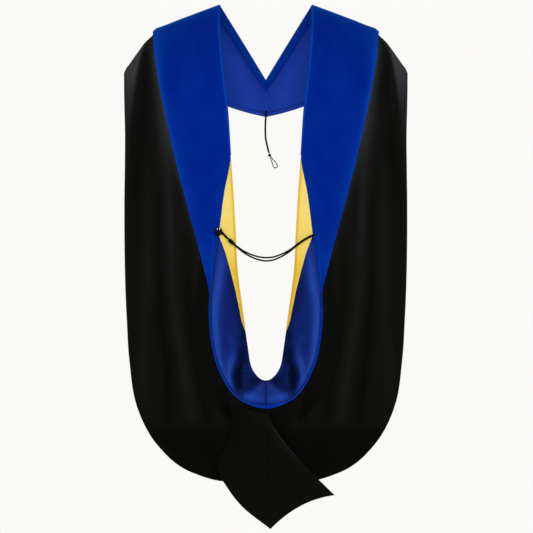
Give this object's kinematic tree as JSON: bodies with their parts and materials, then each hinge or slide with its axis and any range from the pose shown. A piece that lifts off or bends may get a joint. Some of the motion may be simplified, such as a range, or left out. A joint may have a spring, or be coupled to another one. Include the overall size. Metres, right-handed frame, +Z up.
{
  "type": "academic hood",
  "caption": "Doctoral academic hood kept in its worn form: black panels and tail, royal-blue velvet band, gold and blue satin lining, button, closure cord and neck cord.",
  "frame": {"origin": "midway between the two neck peaks, where the hood sits on the neck", "axes": "+Z up when worn, -Y out of the back of the hood, +X to the wearer's right"},
  "size_m": [0.55, 0.309, 1.0067],
  "materials": {
    "shell_cloth": "black closely woven cloth, softly sheened",
    "velvet": "royal-blue velvet, short pile",
    "blue_satin": "royal-blue satin",
    "gold_satin": "gold satin",
    "cord": "black round braided cord",
    "button": "glossy black"
  },
  "bodies": {
    "root": {"shell_left": "shell_cloth", "shell_right": "shell_cloth", "cowl_wall": "shell_cloth", "tail": "shell_cloth", "velvet_left": "velvet", "velvet_right": "velvet", "facing_left": "blue_satin", "facing_right": "blue_satin", "lining_left": "blue_satin", "lining_right": "blue_satin", "gold_left": "gold_satin", "gold_right": "gold_satin", "closure_upper": "cord", "closure_lower": "cord", "closure_loop": "cord", "closure_slide": "cord", "neck_strand_left": "cord", "neck_strand_right": "cord", "neck_knot": "cord", "neck_loop": "cord", "neck_tack": "cord", "button": "button"}
  },
  "joints": []
}
